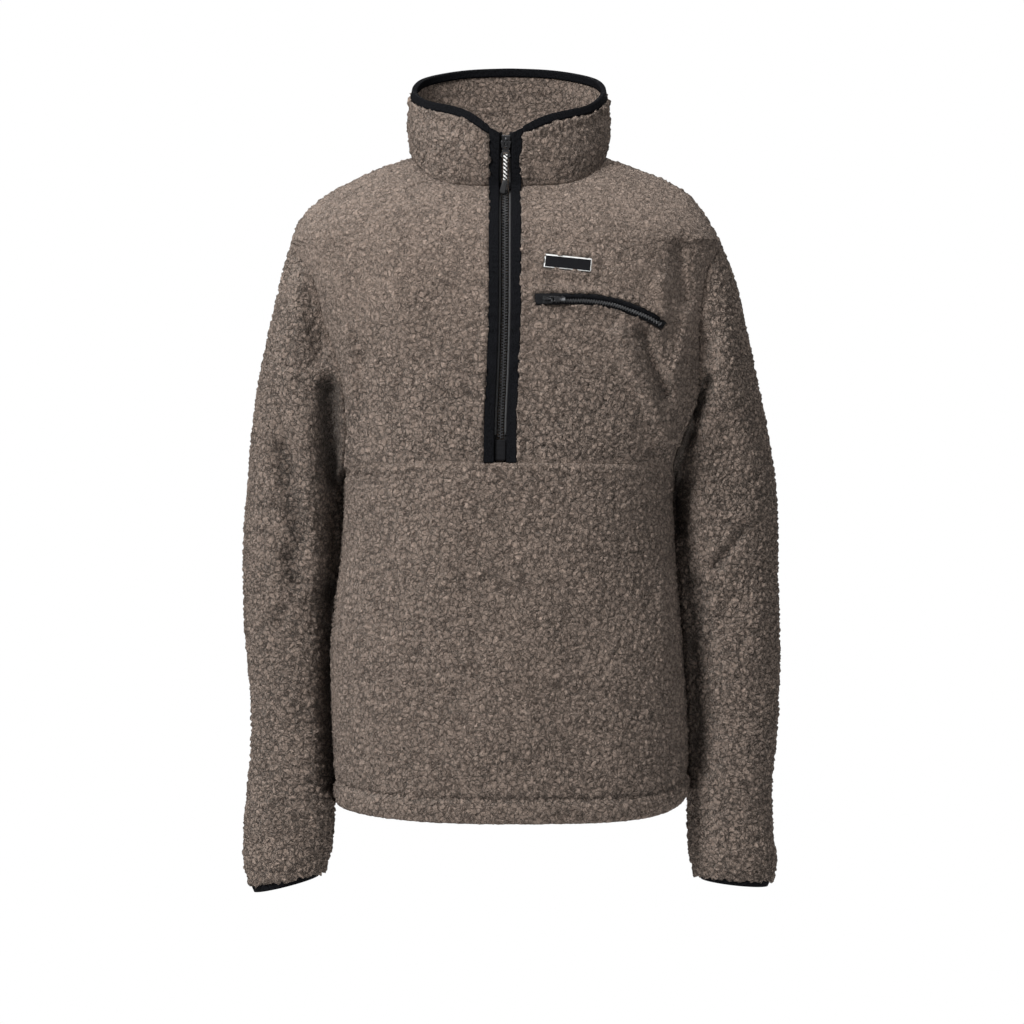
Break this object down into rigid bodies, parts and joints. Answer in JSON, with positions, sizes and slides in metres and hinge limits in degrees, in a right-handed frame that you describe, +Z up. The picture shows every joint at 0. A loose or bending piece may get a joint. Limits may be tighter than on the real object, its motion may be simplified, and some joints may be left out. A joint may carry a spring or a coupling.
{
  "type": "sherpa fleece pullover",
  "caption": "Taupe sherpa fleece half-zip pullover with stand collar, black bindings, slanted chest pocket zip and a bare woven patch.",
  "frame": {"origin": "middle of the neck opening at the height where shoulders and collar meet", "axes": "+Z up, towards the collar; -Y out of the front; +X towards the wearer's left sleeve"},
  "size_m": [0.5369, 0.2475, 0.8303],
  "materials": {
    "fleece": "matte",
    "binding": "matte",
    "zip_tape": "matte",
    "zip_teeth": "satin",
    "zip_metal": "gloss",
    "pull_cord": "matte",
    "pull_end": "satin",
    "patch": "matte"
  },
  "bodies": {
    "garment": {"front_lower": "fleece", "yoke_front_left": "fleece", "yoke_front_right": "fleece", "back": "fleece", "sleeve_left": "fleece", "sleeve_right": "fleece", "collar": "fleece", "cuff_binding_left": "binding", "cuff_binding_right": "binding", "collar_binding": "binding", "placket_binding_left": "binding", "placket_binding_right": "binding", "placket_end_tape": "zip_tape", "zip_tape_left": "zip_tape", "zip_tape_right": "zip_tape", "zip_chain": "zip_teeth", "zip_slider": "zip_metal", "pocket_zip_band": "zip_tape", "pocket_chain": "zip_teeth", "pocket_slider": "zip_metal", "label_patch": "patch"},
    "zip_pull": {"zip_puller": "zip_metal", "pull_cord": "pull_cord", "pull_end": "pull_end"},
    "pocket_pull": {"pocket_puller": "zip_metal"}
  },
  "joints": [
    {"name": "zip_pull_swing", "type": "hinge", "parent": "garment", "child": "zip_pull", "pos_m": [-0.00303, -0.07586, 0.01892], "axis": [-0.9998, -0.0013, 0.0196], "range_deg": [0, 150]},
    {"name": "pocket_pull_swing", "type": "hinge", "parent": "garment", "child": "pocket_pull", "pos_m": [0.03717, -0.12216, -0.13787], "axis": [0.0251, -0.1311, -0.991], "range_deg": [0, 150]}
  ]
}
